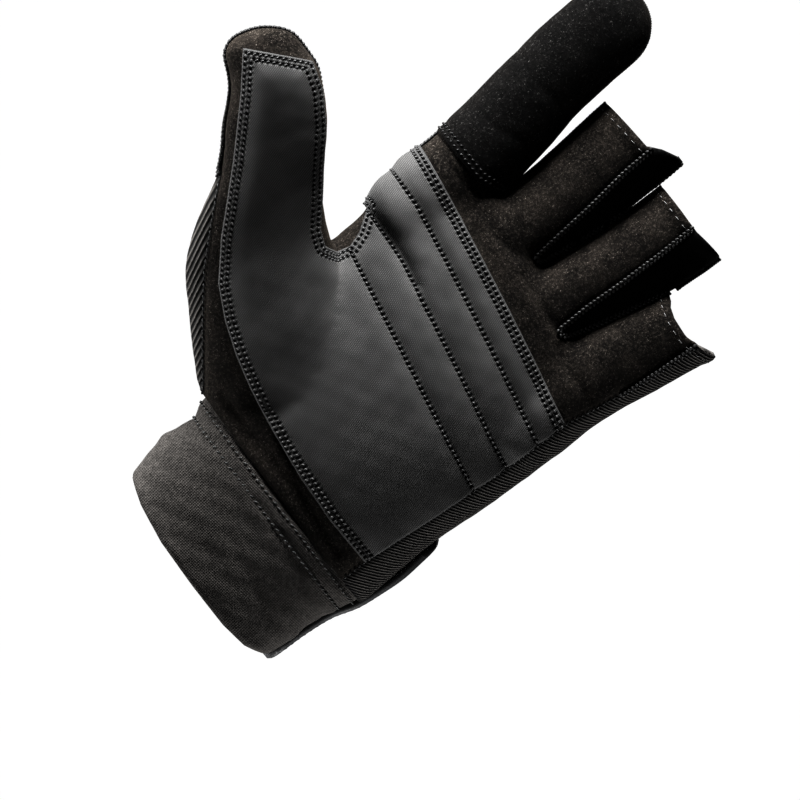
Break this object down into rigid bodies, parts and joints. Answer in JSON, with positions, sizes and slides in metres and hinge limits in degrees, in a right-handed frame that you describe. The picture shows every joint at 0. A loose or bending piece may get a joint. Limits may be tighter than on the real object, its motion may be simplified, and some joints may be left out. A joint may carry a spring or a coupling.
{
  "type": "casting glove",
  "caption": "Left-hand casting glove of suede, rib knit and quilted grey palm cloth: closed thumb and index finger, short open stalls for the other fingers, knit cuff with a closure strap.",
  "frame": {"origin": "on the hand's axis in the wrist opening, where the hand goes in", "axes": "+Z from the wrist to the fingertips, -Y is the palm side, +Y the back, +X the little-finger side, and the thumb is towards -X"},
  "size_m": [0.1645, 0.0654, 0.2168],
  "materials": {
    "suede": "matte nap, lighter fibres",
    "rib_knit": "matte ribbed stretch knit",
    "twill": "matte coated fine twill",
    "cover_suede": "matte coarse nap",
    "cuff_knit": "matte fine knit on foam",
    "strap_rubber": "smooth, slight sheen",
    "side_knit": "matte stretch cloth"
  },
  "bodies": {
    "root": {"palm_panel": "suede", "thumb_suede": "suede", "back_panel": "rib_knit", "thumb_panel": "rib_knit", "palm_overlay": "twill", "index_cover": "cover_suede", "wrist_cuff": "cuff_knit", "closure_strap": "strap_rubber", "fourchette_middle": "side_knit", "fourchette_ring": "side_knit"}
  },
  "joints": []
}
